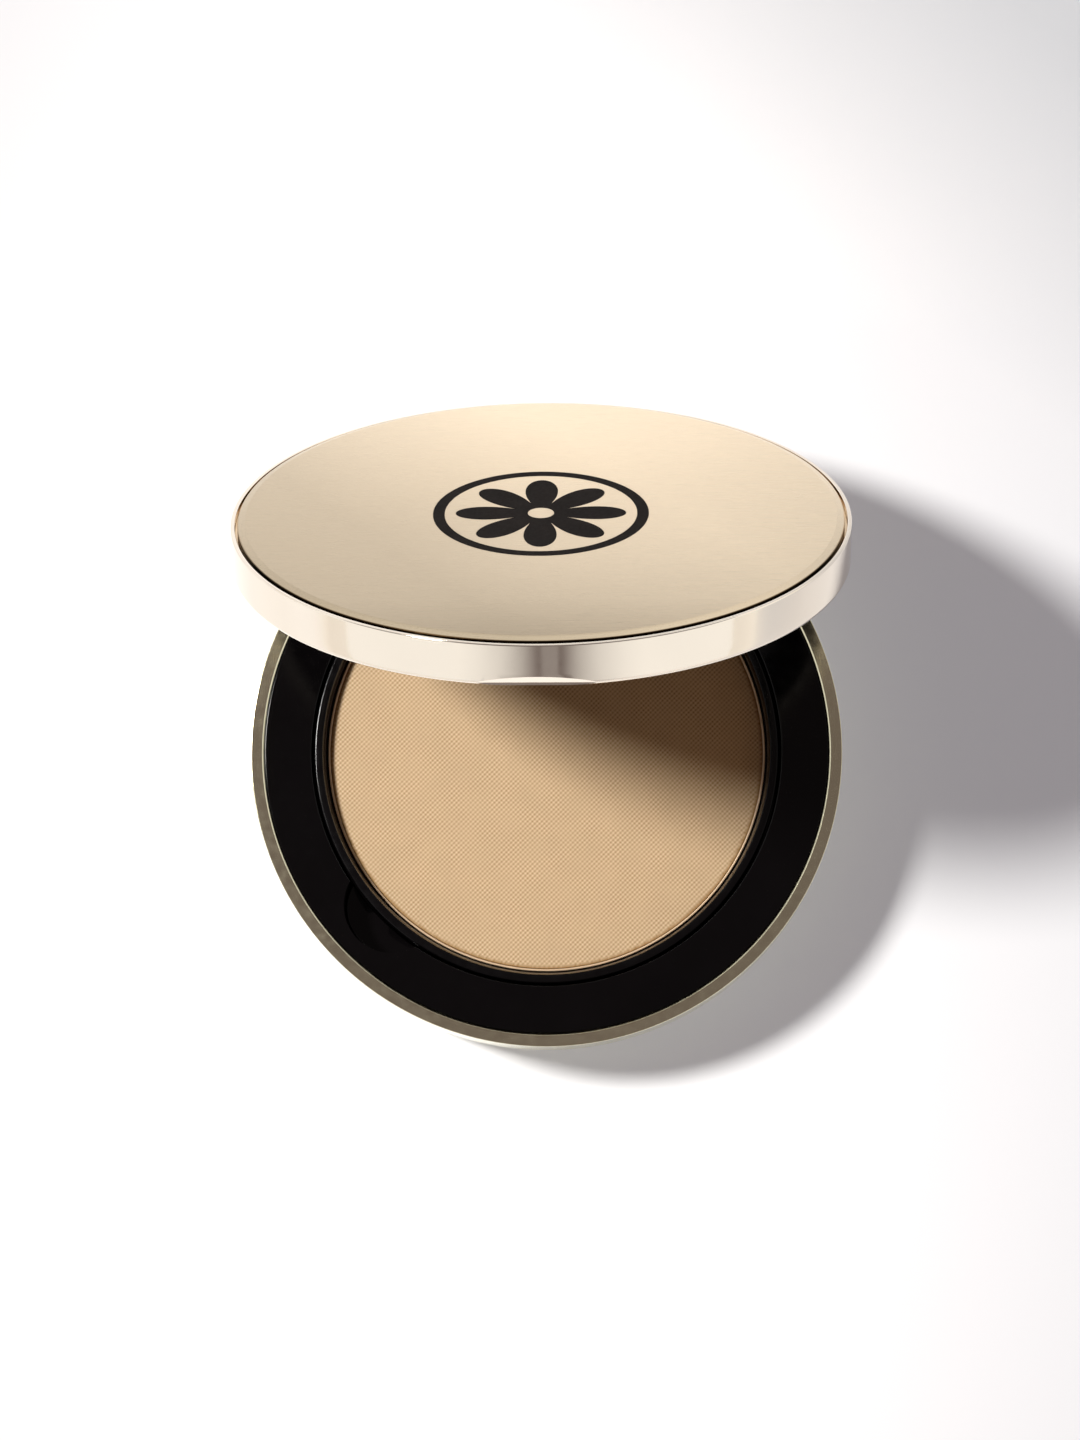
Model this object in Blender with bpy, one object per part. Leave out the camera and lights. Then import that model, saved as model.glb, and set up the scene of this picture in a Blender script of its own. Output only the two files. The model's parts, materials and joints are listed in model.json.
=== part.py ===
"""A round powder compact: a hinged case with a mirror lid and a lift-out pressed-powder refill.

World frame: metres, +Z up. The origin is the centre of the case's underside, the hinge is at the back
(+Y) and the thumb notch of the lid is at the front (-Y). The lid's pieces are drawn with the lid shut
and hang from an empty on the hinge axis, which holds them at LID_OPEN. The refill's pieces hang from
an empty on the case's axis. All constants are millimetres or degrees; MM turns them into metres.
"""

import math

import bmesh
import bpy

MM = 0.001

# ---------------------------------------------------------------- driving dimensions

CASE_R = 39.75  # outer radius of base and lid
BASE_H = 17.0  # underside to the base's rim
LID_GAP = 0.3  # between the base's rim and the shut lid
LID_WALL_H = 5.65  # height of the lid's polished side wall
LID_OPEN = 58.0  # the lid's angle at rest, from shut

HINGE_Y = 38.6  # hinge axis behind the case's centre
HINGE_Z = BASE_H - 3.7  # hinge axis above the underside
KNUCKLE_R = 2.1
KNUCKLE_SPLIT = 6.1  # half width of the middle knuckle's slot
HINGE_HALF = 12.0  # half width over the outer knuckles
SIDE_PLAY = 0.2  # between neighbouring knuckles
PIN_R = 0.75
PIN_PLAY = 0.05
PIN_INSET = 0.1  # the pin's ends lie this far inside the knuckles
BUSH_WALL = 0.25
BUSH_SPLIT = 40.0  # degrees left open in the rolled bush
BUSH_PLAY = 0.07

PAN_R = 29.5  # outer radius of the standard 59 mm powder pan
PAN_H = 3.45
PAN_WALL = 0.3
PAN_BEND = 0.3  # bend between the pan's floor and its wall
PAN_TAPE_R = PAN_R - 3.0
PAN_FLOOR = BASE_H - 6.25  # height of the pan's underside
FIT = 0.08  # gap between glued or pressed pieces
TAPE_H = 0.1  # thickness of the double-sided tapes
TAPE_GAP = 0.05  # between a tape and the pieces it holds
CLEAR = 1.0  # how far a cutting tool runs past the surface it cuts

FLOOR_Z = 1.2  # top of the base shell's floor
INNER_BEND = 3.8  # radius of the bend between that floor and the wall
WEIGHT_R = 33.5  # steel weight under the tray
WEIGHT_H = 0.8
WEIGHT_TAPE_R = 30.0

TRAY_R = CASE_R - 1.85  # black tray inside the base's rim
WELL_R = 31.6  # the tray's well for the refill
WELL_FLOOR = 2.95
DECK_Z = BASE_H - 0.2
CUP_R = WELL_R - 0.35

SCOOP_R = 6.45  # thumb scoop beside the refill
SCOOP_CENTRE_R = 29.3
SCOOP_ANGLE = 225.0
SCOOP_FLOOR = BASE_H - 5.4
SCOOP_SPREAD = 32.0  # degrees of the solid block that the scoop is cut from

MIRROR_R = 33.0
MIRROR_THICK = 1.2
MIRROR_TAPE_R = MIRROR_R - 2.0
PANEL_Z = BASE_H + 4.1  # underside of the lid shell's panel
PLATE_R = CASE_R - 0.9
PLATE_TOP = BASE_H + 6.5  # stands proud of the wall, so its rolled edge shows all round
PLATE_TAPE_R = PLATE_R - 2.5
GROOVE = 0.35

MAGNET_R = 1.25
MAGNET_H = 1.8
MAGNET_CENTRE_R = 35.1
MAGNET_ANGLE = 25.0  # each side of the front
MAGNET_COVER = 1.2  # from a magnet's pocket to the outside of the plastic
MAGNET_PLAY = 0.1
TRAY_BOSS_R = 2.4
FRAME_BOSS_R = 1.85
BOSS_INSET = 0.7  # a boss starts this far inside the plastic

LABEL_R = 27.0
LABEL_DEPTH = 0.3
LABEL_PLAY = 0.2

EMBLEM_R = 13.8
EMBLEM_STROKE = 1.45
EMBLEM_DEPTH = 0.35
EMBLEM_PROUD = 0.02  # how far the inlays stand above the plate
EMBLEM_GLUE = 0.08  # room under the inlays
PETALS = 8
STEPS_PER_PETAL = 8
PETAL_TIP = 10.9
PETAL_ROOT = 3.4
ROSETTE_EYE = 1.7

NOTCH_HALF = 8.3  # thumb notch in the lid's front edge
NOTCH_H = 1.3
NOTCH_SLOPE = 0.6  # how far each slanting end leans out
NOTCH_PLANE = CASE_R - 0.85

ROUND_STEPS = 56
SMALL_STEPS = 20
PIN_STEPS = 24

# ---------------------------------------------------------------- derived places

LID_LOW = BASE_H + LID_GAP
LID_HIGH = LID_LOW + LID_WALL_H
SHELL_BORE = TRAY_R + 0.1
FRAME_R = SHELL_BORE - 0.05
MIRROR_TOP = PANEL_Z - 0.3
MIRROR_LOW = MIRROR_TOP - MIRROR_THICK
PLATE_SEAT = LID_HIGH - 0.9

# ---------------------------------------------------------------- shared tools


def clear_scene():
    for old in list(bpy.data.objects):
        bpy.data.objects.remove(old)


def principled(name, colour, roughness, metallic):
    material = bpy.data.materials.new(name)
    material.use_nodes = True
    shader = material.node_tree.nodes["Principled BSDF"]
    shader.inputs["Base Color"].default_value = (*colour, 1.0)
    shader.inputs["Roughness"].default_value = roughness
    shader.inputs["Metallic"].default_value = metallic
    material.diffuse_color = (*colour, 1.0)
    return material


def joint_empty(name, place, tilt=0.0):
    """An empty on a joint's axis. tilt opens the pieces that hang from it about X."""
    empty = bpy.data.objects.new(name, None)
    bpy.context.collection.objects.link(empty)
    empty.location = [value * MM for value in place]
    empty.rotation_euler.x = math.radians(tilt)
    return empty


def add_object(name, bm, material=None, parent=None):
    """Links a mesh drawn in the shut compact's coordinates, under its joint's empty if it moves."""
    bmesh.ops.remove_doubles(bm, verts=bm.verts, dist=1e-7)
    bmesh.ops.recalc_face_normals(bm, faces=bm.faces)
    mesh = bpy.data.meshes.new(name)
    bm.to_mesh(mesh)
    bm.free()
    mesh.shade_smooth()
    mesh.set_sharp_from_angle(angle=math.radians(30))
    obj = bpy.data.objects.new(name, mesh)
    bpy.context.collection.objects.link(obj)
    if material:
        mesh.materials.append(material)
    if parent:
        obj.parent = parent
        obj.location = [-value for value in parent.location]
    return obj


def turned(name, profile, material=None, parent=None, centre=(0.0, 0.0), steps=ROUND_STEPS):
    """Turns (radius, height) points about an upright axis through centre.

    A profile that starts and ends on the axis makes a solid of revolution; any other is a closed loop.
    """
    bm = bmesh.new()
    verts = [bm.verts.new((radius * MM, 0.0, height * MM)) for radius, height in profile]
    pairs = list(zip(verts, verts[1:]))
    on_axis = profile[0][0] == 0.0 and profile[-1][0] == 0.0
    if not on_axis:
        pairs.append((verts[-1], verts[0]))
    bmesh.ops.spin(
        bm,
        geom=[bm.edges.new(pair) for pair in pairs],
        cent=(0.0, 0.0, 0.0),
        axis=(0.0, 0.0, 1.0),
        angle=2 * math.pi,
        steps=steps,
        use_merge=True,
    )
    bmesh.ops.translate(bm, verts=bm.verts, vec=(centre[0] * MM, centre[1] * MM, 0.0))
    return add_object(name, bm, material, parent)


def ring_block(name, inner, outer, low, high, middle, spread):
    """A curved block between two radii, spread degrees wide about the direction middle."""
    bm = bmesh.new()
    corners = [(inner, low), (outer, low), (outer, high), (inner, high)]
    start = math.radians(middle - spread / 2)
    verts = []
    for radius, height in corners:
        place = (radius * MM * math.cos(start), radius * MM * math.sin(start), height * MM)
        verts.append(bm.verts.new(place))
    end_face = bm.faces.new(verts)
    bmesh.ops.spin(
        bm,
        geom=[end_face] + list(end_face.edges),
        cent=(0.0, 0.0, 0.0),
        axis=(0.0, 0.0, 1.0),
        angle=math.radians(spread),
        steps=8,
    )
    return add_object(name, bm)


def disc(name, radius, low, high, material=None, parent=None):
    """A plain round solid between two heights, about the compact's axis."""
    profile = [(0.0, low), (radius, low), (radius, high), (0.0, high)]
    return turned(name, profile, material, parent)


def stud(name, radius, low, high, centre, material=None, parent=None):
    """A small upright cylinder, for the magnets, their pockets and bosses."""
    profile = [(0.0, low), (radius, low), (radius, high), (0.0, high)]
    return turned(name, profile, material, parent, centre, SMALL_STEPS)


def extruded(name, outline, low, high, material=None, parent=None, hole=None):
    """An upright prism between two heights. hole is an inner outline with as many points."""
    bm = bmesh.new()
    rings = []
    for loop in [outline] + ([hole] if hole else []):
        for height in (low, high):
            rings.append([bm.verts.new((x * MM, y * MM, height * MM)) for x, y in loop])
    count = len(outline)
    order = [(0, 1), (2, 3), (0, 2), (1, 3)] if hole else [(0, 1)]
    for first, second in order:
        for i in range(count):
            j = (i + 1) % count
            bm.faces.new((rings[first][i], rings[first][j], rings[second][j], rings[second][i]))
    if not hole:
        bm.faces.new(rings[0])
        bm.faces.new(rings[1])
    return add_object(name, bm, material, parent)


def rod(name, radius, low_x, high_x, material=None, parent=None, bore=0.0, split=0.0):
    """A rod, a tube or a split tube along the hinge axis."""
    bm = bmesh.new()
    first = math.radians(90.0 + split / 2)
    turn = math.radians(360.0 - split)
    steps = PIN_STEPS
    count = steps + 1 if split else steps
    rings = []
    for x in (low_x, high_x):
        for size in (radius, bore) if bore else (radius,):
            ring = []
            for i in range(count):
                angle = first + turn * i / steps
                y = HINGE_Y + size * math.cos(angle)
                z = HINGE_Z + size * math.sin(angle)
                ring.append(bm.verts.new((x * MM, y * MM, z * MM)))
            rings.append(ring)
    faces = [(0, 2), (1, 3), (0, 1), (2, 3)] if bore else [(0, 1)]
    for low, high in faces:
        for i in range(steps):
            j = (i + 1) % count
            bm.faces.new((rings[low][i], rings[low][j], rings[high][j], rings[high][i]))
    if not bore:
        bm.faces.new(rings[0])
        bm.faces.new(rings[1])
    if split:
        for end in (0, -1):
            bm.faces.new((rings[0][end], rings[1][end], rings[3][end], rings[2][end]))
    return add_object(name, bm, material, parent)


def block(name, low, high, parent=None):
    """A rectangular solid between two corners, used as a tool."""
    (x0, y0, z0), (x1, y1, z1) = low, high
    return extruded(name, [(x0, y0), (x1, y0), (x1, y1), (x0, y1)], z0, z1, parent=parent)


def combine(target, tool, operation):
    """Cuts a tool out of a piece, or joins it on, and leaves the tool out of renders."""
    tool.hide_render = True
    tool.display_type = "WIRE"
    modifier = target.modifiers.new(tool.name, "BOOLEAN")
    modifier.operation = operation
    modifier.object = tool
    modifier.solver = "EXACT"


def cut(target, tool):
    combine(target, tool, "DIFFERENCE")


def join(target, tool):
    combine(target, tool, "UNION")


def arc(centre_r, centre_z, size_r, size_z, start, end, steps):
    """Points along an elliptical quarter of a turned profile, both ends included."""
    points = []
    for i in range(steps + 1):
        angle = math.radians(start + (end - start) * i / steps)
        points.append((centre_r + size_r * math.cos(angle), centre_z + size_z * math.sin(angle)))
    return points


def polar(radius, degrees):
    angle = math.radians(degrees)
    return (radius * math.cos(angle), radius * math.sin(angle))


def magnet_places():
    """The name and centre of each magnet, either side of the front."""
    front = 270.0
    yield "left", polar(MAGNET_CENTRE_R, front - MAGNET_ANGLE)
    yield "right", polar(MAGNET_CENTRE_R, front + MAGNET_ANGLE)


# ---------------------------------------------------------------- the base


def make_base_shell(gold):
    """The gold cup: a flat foot, bowl-shaped sides, a narrow polished rim and the outer knuckles."""
    foot_r = CASE_R - 5.5
    bowl_h = 7.5
    lip_round = 0.45
    lip_inner = 0.35
    bend_h = 4.0
    profile = [(0.0, LABEL_DEPTH), (LABEL_R, LABEL_DEPTH), (LABEL_R, 0.0)]
    profile += arc(foot_r, bowl_h, CASE_R - foot_r, bowl_h, -90.0, 0.0, 6)
    profile += arc(CASE_R - lip_round, BASE_H - lip_round, lip_round, lip_round, 0.0, 90.0, 2)
    profile += [(SHELL_BORE + lip_inner, BASE_H - 0.05), (SHELL_BORE, BASE_H - 0.4)]
    profile += arc(SHELL_BORE - INNER_BEND, FLOOR_Z + bend_h, INNER_BEND, bend_h, 0.0, -90.0, 3)
    profile += [(0.0, FLOOR_Z)]
    shell = turned("base_shell", profile, gold)

    join(shell, rod("tool_base_knuckles", KNUCKLE_R, -HINGE_HALF, HINGE_HALF))
    slot_half = KNUCKLE_SPLIT + SIDE_PLAY / 2
    slot_low = HINGE_Z - KNUCKLE_R - 0.3
    slot_front = HINGE_Y - KNUCKLE_R - SIDE_PLAY
    slot_back = HINGE_Y + KNUCKLE_R + CLEAR
    slot_corner = (slot_half, slot_back, LID_LOW + CLEAR)
    cut(shell, block("tool_knuckle_slot", (-slot_half, slot_front, slot_low), slot_corner))
    cut(shell, rod("tool_base_pin_hole", PIN_R + PIN_PLAY, -HINGE_HALF - CLEAR, HINGE_HALF + CLEAR))


def make_base_tray(black):
    """The gloss black tray: deck, refill well, thumb scoop, magnet bosses and a flat for the hinge."""
    well_wall = 1.3
    well_round = 0.4
    deck_low = DECK_Z - 1.4
    skirt_r = TRAY_R - 1.2
    skirt_low = 5.4
    ease = 0.15
    underside = WELL_FLOOR - 0.6
    profile = [
        (0.0, underside),
        (WELL_R + well_wall - well_round, underside),
        (WELL_R + well_wall, underside + well_round),
        (WELL_R + well_wall, deck_low),
        (skirt_r, deck_low),
        (skirt_r, skirt_low),
        (TRAY_R, skirt_low),
        (TRAY_R, DECK_Z - ease),
        (TRAY_R - ease, DECK_Z),
        (WELL_R + ease, DECK_Z),
        (WELL_R, DECK_Z - ease),
        (WELL_R, WELL_FLOOR),
        (0.0, WELL_FLOOR),
    ]
    tray = turned("base_tray", profile, black)

    overlap = 0.6
    inner, outer = WELL_R + overlap, TRAY_R - overlap
    low, high = SCOOP_FLOOR - CLEAR, DECK_Z - 0.8
    join(tray, ring_block("tool_scoop_block", inner, outer, low, high, SCOOP_ANGLE, SCOOP_SPREAD))
    high = DECK_Z + CLEAR
    scoop = [(0.0, SCOOP_FLOOR), (SCOOP_R, SCOOP_FLOOR), (SCOOP_R, high), (0.0, high)]
    cut(tray, turned("tool_scoop", scoop, centre=polar(SCOOP_CENTRE_R, SCOOP_ANGLE)))

    pocket_high = DECK_Z - MAGNET_COVER
    low = pocket_high - MAGNET_H - 0.4
    for name, place in magnet_places():
        join(tray, stud("tool_boss_" + name, TRAY_BOSS_R, low, DECK_Z - BOSS_INSET, place))
        pocket_r = MAGNET_R + MAGNET_PLAY
        cut(tray, stud("tool_pocket_" + name, pocket_r, low - CLEAR, pocket_high, place))

    flat_y = HINGE_Y - KNUCKLE_R - 0.4
    room = CASE_R + CLEAR
    cut(tray, block("tool_tray_flat", (-room, flat_y, 0.0), (room, room, DECK_Z + CLEAR)))


def make_base_fillings(steel, magnet, tape, paper):
    """The hidden weight and its tape, the closure magnets, the blank label and the pin."""
    tape_low = FLOOR_Z + TAPE_GAP
    disc("weight_adhesive", WEIGHT_TAPE_R, tape_low, tape_low + TAPE_H, tape)
    low = tape_low + TAPE_H + TAPE_GAP
    high = low + WEIGHT_H
    ease = 0.1
    profile = [(0.0, low), (WEIGHT_R, low), (WEIGHT_R, high - ease), (WEIGHT_R - ease, high)]
    turned("weight_plate", profile + [(0.0, high)], steel)
    high = DECK_Z - MAGNET_COVER - FIT
    for name, place in magnet_places():
        stud("base_magnet_" + name, MAGNET_R, high - MAGNET_H, high, place, magnet)
    disc("base_label", LABEL_R - LABEL_PLAY, 0.0, LABEL_DEPTH - FIT, paper)
    rod("hinge_pin", PIN_R, -HINGE_HALF + PIN_INSET, HINGE_HALF - PIN_INSET, steel)


# ---------------------------------------------------------------- the refill


def make_refill(parent, black, tin, powder, tape):
    """The black cup that lifts out of the well, the tin pan glued in it and the powder pressed into that."""
    cup_low = WELL_FLOOR + 0.1
    cup_top = DECK_Z - 0.3
    cup_floor = PAN_FLOOR - 0.2
    floor_low = cup_floor - 0.6
    foot_ease = 0.35
    top_ease = 0.3
    bore = PAN_R + 0.18
    rim_inner = PAN_R + 0.6
    pan_top = PAN_FLOOR + PAN_H
    cup = [
        (0.0, floor_low),
        (bore, floor_low),
        (bore, cup_low),
        (CUP_R - foot_ease, cup_low),
        (CUP_R, cup_low + foot_ease),
        (CUP_R, cup_top - top_ease),
        (CUP_R - top_ease, cup_top),
        (rim_inner, cup_top),
        (bore, pan_top + 0.1),
        (bore, cup_floor),
        (0.0, cup_floor),
    ]
    turned("refill_cup", cup, black, parent)
    tape_high = PAN_FLOOR - TAPE_GAP
    disc("pan_adhesive", PAN_TAPE_R, tape_high - TAPE_H, tape_high, tape, parent)
    inner = PAN_R - PAN_WALL
    pan_inside = PAN_FLOOR + PAN_WALL
    pan = [
        (0.0, PAN_FLOOR),
        (PAN_R - PAN_BEND, PAN_FLOOR),
        (PAN_R, PAN_FLOOR + PAN_BEND),
        (PAN_R, pan_top),
        (inner, pan_top),
        (inner, pan_inside + PAN_BEND),
        (inner - PAN_BEND, pan_inside),
        (0.0, pan_inside),
    ]
    turned("powder_pan", pan, tin, parent)
    cake_r = inner - FIT
    cake_low = pan_inside + FIT
    cake_ease = 0.4
    edge_slope = 0.5
    cake = [
        (0.0, cake_low),
        (cake_r - cake_ease, cake_low),
        (cake_r, cake_low + cake_ease),
        (cake_r, pan_top - cake_ease),
        (cake_r - edge_slope, pan_top - 0.22),
        (0.0, pan_top - 0.12),
    ]
    turned("pressed_powder", cake, powder, parent)


# ---------------------------------------------------------------- the lid


def make_lid_shell(parent, gold):
    """The polished side wall and the panel that carries the plate outside and the mirror inside."""
    under_round = 0.8
    edge_round = 0.2
    lip = 0.3
    seat_r = PLATE_R + GROOVE
    profile = [(0.0, PANEL_Z), (SHELL_BORE, PANEL_Z), (SHELL_BORE, LID_LOW + lip)]
    profile += [(SHELL_BORE + lip, LID_LOW)]
    profile += arc(CASE_R - under_round, LID_LOW + under_round, under_round, under_round, -90.0, 0.0, 4)
    profile += arc(CASE_R - edge_round, LID_HIGH - edge_round, edge_round, edge_round, 0.0, 90.0, 2)
    profile += [(seat_r, LID_HIGH), (seat_r, PLATE_SEAT), (0.0, PLATE_SEAT)]
    shell = turned("lid_shell", profile, gold, parent)

    front = -CASE_R - CLEAR
    bm = bmesh.new()
    rings = []
    for lean, height in ((NOTCH_SLOPE, LID_LOW - CLEAR), (-NOTCH_SLOPE, LID_LOW + NOTCH_H)):
        half = NOTCH_HALF + lean
        corners = [(-half, front), (half, front), (half, -NOTCH_PLANE), (-half, -NOTCH_PLANE)]
        rings.append([bm.verts.new((x * MM, y * MM, height * MM)) for x, y in corners])
    bm.faces.new(rings[0])
    bm.faces.new(rings[1])
    for i in range(4):
        j = (i + 1) % 4
        bm.faces.new((rings[0][i], rings[0][j], rings[1][j], rings[1][i]))
    cut(shell, add_object("tool_lid_notch", bm, parent=parent))


def rosette_outline(grow):
    """The petals' outline as a polar curve. grow offsets it for the recess that holds it."""
    outline = []
    count = PETALS * STEPS_PER_PETAL
    fullness = 0.7  # under 1, so that the petals are blunt
    for i in range(count):
        angle = 2 * math.pi * i / count
        swell = abs(math.cos(angle * PETALS / 2)) ** fullness
        radius = PETAL_ROOT + (PETAL_TIP - PETAL_ROOT) * swell + grow
        outline.append((radius * math.cos(angle), radius * math.sin(angle)))
    return outline


def circle_outline(radius, count):
    return [polar(radius, 360.0 * i / count) for i in range(count)]


def make_lid_top(parent, satin, enamel, tape):
    """The brushed plate, the tape under it and the two black inlays of the emblem."""
    tape_low = PLATE_SEAT + TAPE_GAP
    tape_high = tape_low + TAPE_H
    plate_low = tape_high + TAPE_GAP
    edge_r = 0.6
    edge_h = 0.5
    crown = 0.05
    roll_low = PLATE_TOP - edge_h
    profile = [(0.0, plate_low), (PLATE_R, plate_low), (PLATE_R, roll_low)]
    profile += arc(PLATE_R - edge_r, roll_low, edge_r, edge_h - crown, 0.0, 90.0, 3)[1:]
    profile += [(EMBLEM_R + 1.0, PLATE_TOP), (0.0, PLATE_TOP)]
    plate = turned("lid_top_plate", profile, satin, parent)
    disc("top_plate_adhesive", PLATE_TAPE_R, tape_low, tape_high, tape, parent)

    count = PETALS * STEPS_PER_PETAL
    play = 0.06
    recess_floor = PLATE_TOP - EMBLEM_DEPTH - EMBLEM_GLUE
    clear_top = PLATE_TOP + CLEAR
    ring_out = circle_outline(EMBLEM_R + play, count)
    ring_in = circle_outline(EMBLEM_R - EMBLEM_STROKE - play, count)
    cut(plate, extruded("tool_ring_recess", ring_out, recess_floor, clear_top, parent=parent, hole=ring_in))
    eye = circle_outline(ROSETTE_EYE - play, count)
    petals = rosette_outline(play * 2)
    cut(plate, extruded("tool_rosette_recess", petals, recess_floor, clear_top, parent=parent, hole=eye))

    inlay_low = PLATE_TOP - EMBLEM_DEPTH
    inlay_top = PLATE_TOP + EMBLEM_PROUD
    ring_out = circle_outline(EMBLEM_R, count)
    ring_in = circle_outline(EMBLEM_R - EMBLEM_STROKE, count)
    extruded("emblem_ring", ring_out, inlay_low, inlay_top, enamel, parent, ring_in)
    eye = circle_outline(ROSETTE_EYE, count)
    extruded("emblem_rosette", rosette_outline(0.0), inlay_low, inlay_top, enamel, parent, eye)


def make_mirror_frame(parent, black):
    """The ring that trims the mirror, with magnet pockets and the middle knuckle on its arm."""
    low = LID_LOW + 0.2
    high = PANEL_Z - 0.1
    inner = MIRROR_R + 0.2
    wall = 1.0
    flange = 1.1
    ease = 0.2
    profile = [
        (inner, low + ease),
        (inner + ease, low),
        (FRAME_R - ease, low),
        (FRAME_R, low + ease),
        (FRAME_R, high),
        (FRAME_R - wall, high),
        (FRAME_R - wall, low + flange),
        (inner + wall, low + flange),
        (inner + wall, high),
        (inner, high),
    ]
    frame = turned("mirror_frame", profile, black, parent)

    half = KNUCKLE_SPLIT - SIDE_PLAY / 2
    front = HINGE_Y - KNUCKLE_R + 0.25
    join(frame, rod("tool_lid_knuckle", KNUCKLE_R, -half, half, parent=parent))
    arm_back = (half, HINGE_Y + 0.6, LID_LOW - 0.25)
    join(frame, block("tool_arm", (-half, front, HINGE_Z), arm_back, parent))
    root_back = (half, FRAME_R - 0.6, low + 0.8)
    join(frame, block("tool_arm_root", (-half, front, LID_LOW - CLEAR), root_back, parent))
    bore_r = PIN_R + PIN_PLAY + BUSH_WALL + BUSH_PLAY
    cut(frame, rod("tool_bush_bore", bore_r, -half - CLEAR, half + CLEAR, parent=parent))

    pocket_r = MAGNET_R + MAGNET_PLAY
    pocket_low = LID_LOW + MAGNET_COVER
    for name, place in magnet_places():
        boss_low, boss_high = pocket_low - BOSS_INSET, high - SIDE_PLAY
        boss = stud("tool_lid_boss_" + name, FRAME_BOSS_R, boss_low, boss_high, place, parent=parent)
        join(frame, boss)
        pocket_name = "tool_lid_pocket_" + name
        cut(frame, stud(pocket_name, pocket_r, pocket_low, high + CLEAR, place, parent=parent))


def make_lid_fillings(parent, glass, tape, magnet, steel):
    """The mirror and its tape, the closure magnets and the hinge's friction bush."""
    ease = 0.15
    profile = [(0.0, MIRROR_LOW), (MIRROR_R - ease, MIRROR_LOW), (MIRROR_R, MIRROR_LOW + ease)]
    profile += [(MIRROR_R, MIRROR_TOP), (0.0, MIRROR_TOP)]
    turned("mirror", profile, glass, parent)
    tape_low = MIRROR_TOP + 0.1
    disc("mirror_adhesive", MIRROR_TAPE_R, tape_low, tape_low + TAPE_H, tape, parent)
    low = LID_LOW + MAGNET_COVER + FIT
    for name, place in magnet_places():
        stud("lid_magnet_" + name, MAGNET_R, low, low + MAGNET_H, place, magnet, parent)
    half = KNUCKLE_SPLIT - SIDE_PLAY / 2 - 0.1
    bore = PIN_R + PIN_PLAY
    rod("hinge_bush", bore + BUSH_WALL, -half, half, steel, parent, bore=bore, split=BUSH_SPLIT)


# ---------------------------------------------------------------- the whole compact


def main():
    clear_scene()
    lid_hinge = joint_empty("lid_hinge_axis", (0.0, HINGE_Y, HINGE_Z), tilt=-LID_OPEN)
    refill_lift = joint_empty("refill_lift_axis", (0.0, 0.0, 0.0))

    gold_base = principled("gold_base_shell", (0.62, 0.54, 0.40), 0.16, 1.0)
    gold_lid = principled("gold_lid_shell", (0.86, 0.76, 0.60), 0.08, 1.0)
    satin = principled("satin_plate", (0.80, 0.68, 0.50), 0.32, 1.0)
    black_tray = principled("black_tray", (0.010, 0.009, 0.010), 0.12, 0.0)
    black_cup = principled("black_cup", (0.012, 0.010, 0.011), 0.2, 0.0)
    black_frame = principled("black_frame", (0.010, 0.009, 0.010), 0.15, 0.0)
    enamel = principled("black_enamel", (0.018, 0.015, 0.013), 0.35, 0.0)
    steel = principled("steel", (0.55, 0.55, 0.56), 0.3, 1.0)
    magnet = principled("nickel_magnet", (0.65, 0.64, 0.60), 0.25, 1.0)
    tin = principled("tinplate", (0.78, 0.72, 0.62), 0.25, 1.0)
    powder = principled("powder", (0.62, 0.41, 0.24), 0.95, 0.0)
    glass = principled("mirror_glass", (0.92, 0.93, 0.93), 0.02, 1.0)
    tape = principled("adhesive_tape", (0.85, 0.85, 0.82), 0.7, 0.0)
    paper = principled("label_film", (0.55, 0.47, 0.36), 0.45, 0.0)

    make_base_shell(gold_base)
    make_base_tray(black_tray)
    make_base_fillings(steel, magnet, tape, paper)
    make_refill(refill_lift, black_cup, tin, powder, tape)
    make_lid_shell(lid_hinge, gold_lid)
    make_lid_top(lid_hinge, satin, enamel, tape)
    make_mirror_frame(lid_hinge, black_frame)
    make_lid_fillings(lid_hinge, glass, tape, magnet, steel)


main()
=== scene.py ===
"""The looks of the powder compact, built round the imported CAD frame.

Everything is in metres in the frame's coordinates. Lid pieces are drawn with the lid shut, and each
lid object's own matrix opens it about the hinge. Sizes come from the CAD nodes' boxes and from the
record's joints; the small roundings and surface details that CAD leaves out are named below.
"""

import json
import math

import bmesh
import bpy
import numpy as np
from mathutils import Matrix, Vector


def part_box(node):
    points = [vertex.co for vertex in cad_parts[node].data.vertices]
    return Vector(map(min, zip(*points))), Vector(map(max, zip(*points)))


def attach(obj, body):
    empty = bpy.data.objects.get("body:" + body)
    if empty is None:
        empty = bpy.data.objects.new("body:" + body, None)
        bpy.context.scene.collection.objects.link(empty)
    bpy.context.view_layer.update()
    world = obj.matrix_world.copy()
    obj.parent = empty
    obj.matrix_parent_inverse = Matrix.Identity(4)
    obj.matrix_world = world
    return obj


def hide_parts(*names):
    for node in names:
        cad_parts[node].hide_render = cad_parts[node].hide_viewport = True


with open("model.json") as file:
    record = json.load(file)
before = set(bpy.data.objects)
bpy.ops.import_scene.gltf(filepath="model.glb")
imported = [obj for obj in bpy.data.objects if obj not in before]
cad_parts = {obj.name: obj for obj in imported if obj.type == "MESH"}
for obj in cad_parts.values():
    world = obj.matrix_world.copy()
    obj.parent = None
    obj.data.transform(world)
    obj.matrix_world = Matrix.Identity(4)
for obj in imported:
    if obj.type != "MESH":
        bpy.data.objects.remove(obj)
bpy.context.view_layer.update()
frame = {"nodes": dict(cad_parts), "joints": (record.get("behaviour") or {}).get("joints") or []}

MM = 0.001
UP = (0.0, 0.0, 1.0)
FRONT = (0.0, -1.0, 0.0)

# ---------------------------------------------------------------- what the frame says

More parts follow.
